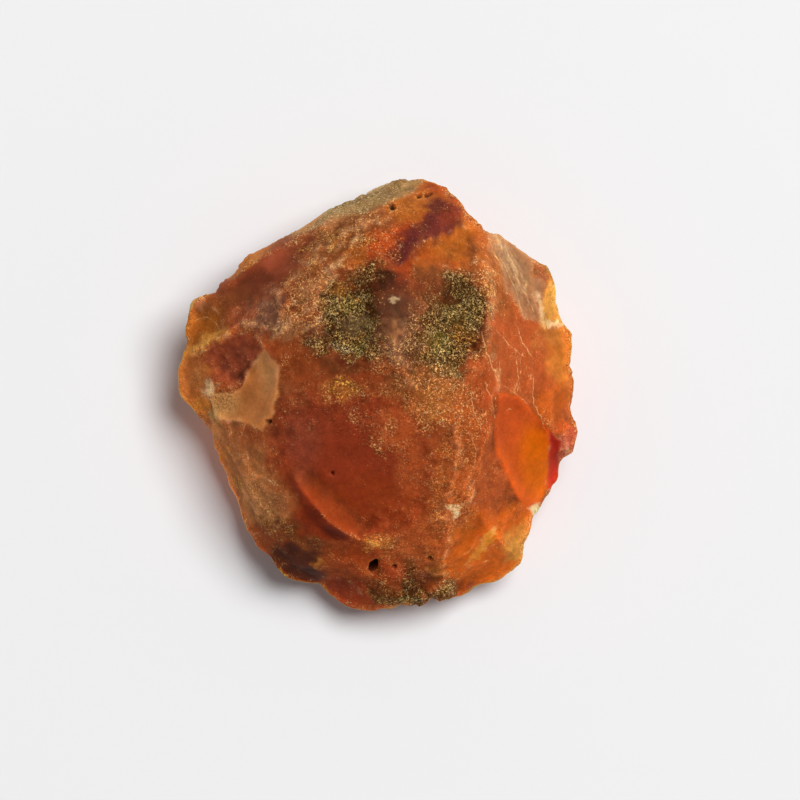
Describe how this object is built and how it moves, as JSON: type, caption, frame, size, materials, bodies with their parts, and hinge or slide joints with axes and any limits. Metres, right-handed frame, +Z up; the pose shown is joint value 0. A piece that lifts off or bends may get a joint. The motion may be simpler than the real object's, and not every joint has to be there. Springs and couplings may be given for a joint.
{
  "type": "rough carnelian stone",
  "caption": "One uncut lump of orange-red chalcedony with hollow shell-shaped breaks, blunt ridges and two crusted pits, lying on a flat break.",
  "frame": {"origin": "centre of the bounding box seen from above, on the surface that the stone lies on", "axes": "+Z up, +Y along the stone's length towards its crusted point, +X to the right of that seen from above"},
  "size_m": [0.0462, 0.0498, 0.025],
  "materials": {
    "carnelian": "waxy, translucent, dusty in its hollows"
  },
  "bodies": {
    "root": {"stone": "carnelian"}
  },
  "joints": []
}
